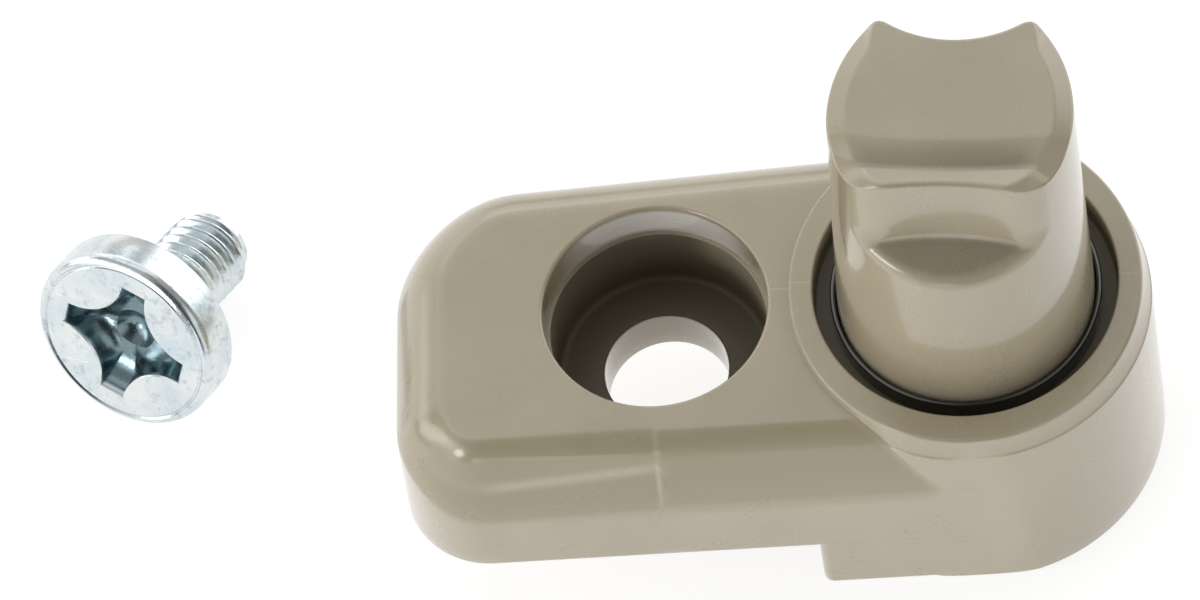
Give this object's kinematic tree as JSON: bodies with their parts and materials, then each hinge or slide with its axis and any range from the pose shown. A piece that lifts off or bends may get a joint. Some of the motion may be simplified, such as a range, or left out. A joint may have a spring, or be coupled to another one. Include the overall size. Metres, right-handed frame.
{
  "type": "refrigerator door lock",
  "caption": "Small refrigerator door lock: a flat plate with a counterbored screw hole and a round boss that holds a sprung cam plunger, with its fixing screw.",
  "frame": {"origin": "centre of the screw hole at the plate's underside", "axes": "+X along the plate from the screw hole to the boss, +Y towards the notched back of the plunger, +Z out of the plate's top face, along the screw hole and the plunger"},
  "size_m": [0.0614, 0.0237, 0.032],
  "materials": {
    "beige_plastic": "semi-gloss moulded",
    "dark_plastic": "smooth, slightly greased",
    "spring_steel": "drawn wire",
    "plated_steel": "bright zinc plate"
  },
  "bodies": {
    "lock_body": {"housing": "beige_plastic", "plunger_spring": "spring_steel", "guide_bush": "dark_plastic", "foot_cap": "beige_plastic", "fixing_screw": "plated_steel"},
    "plunger": {"cam_plunger": "beige_plastic"}
  },
  "joints": [
    {"name": "plunger_press", "type": "slide", "parent": "lock_body", "child": "plunger", "axis": [0, 0, 1], "range_m": [-0.006, 0], "stiffness_N_per_m": 850, "springref_m": 0.003, "deforming": ["plunger_spring"]}
  ]
}
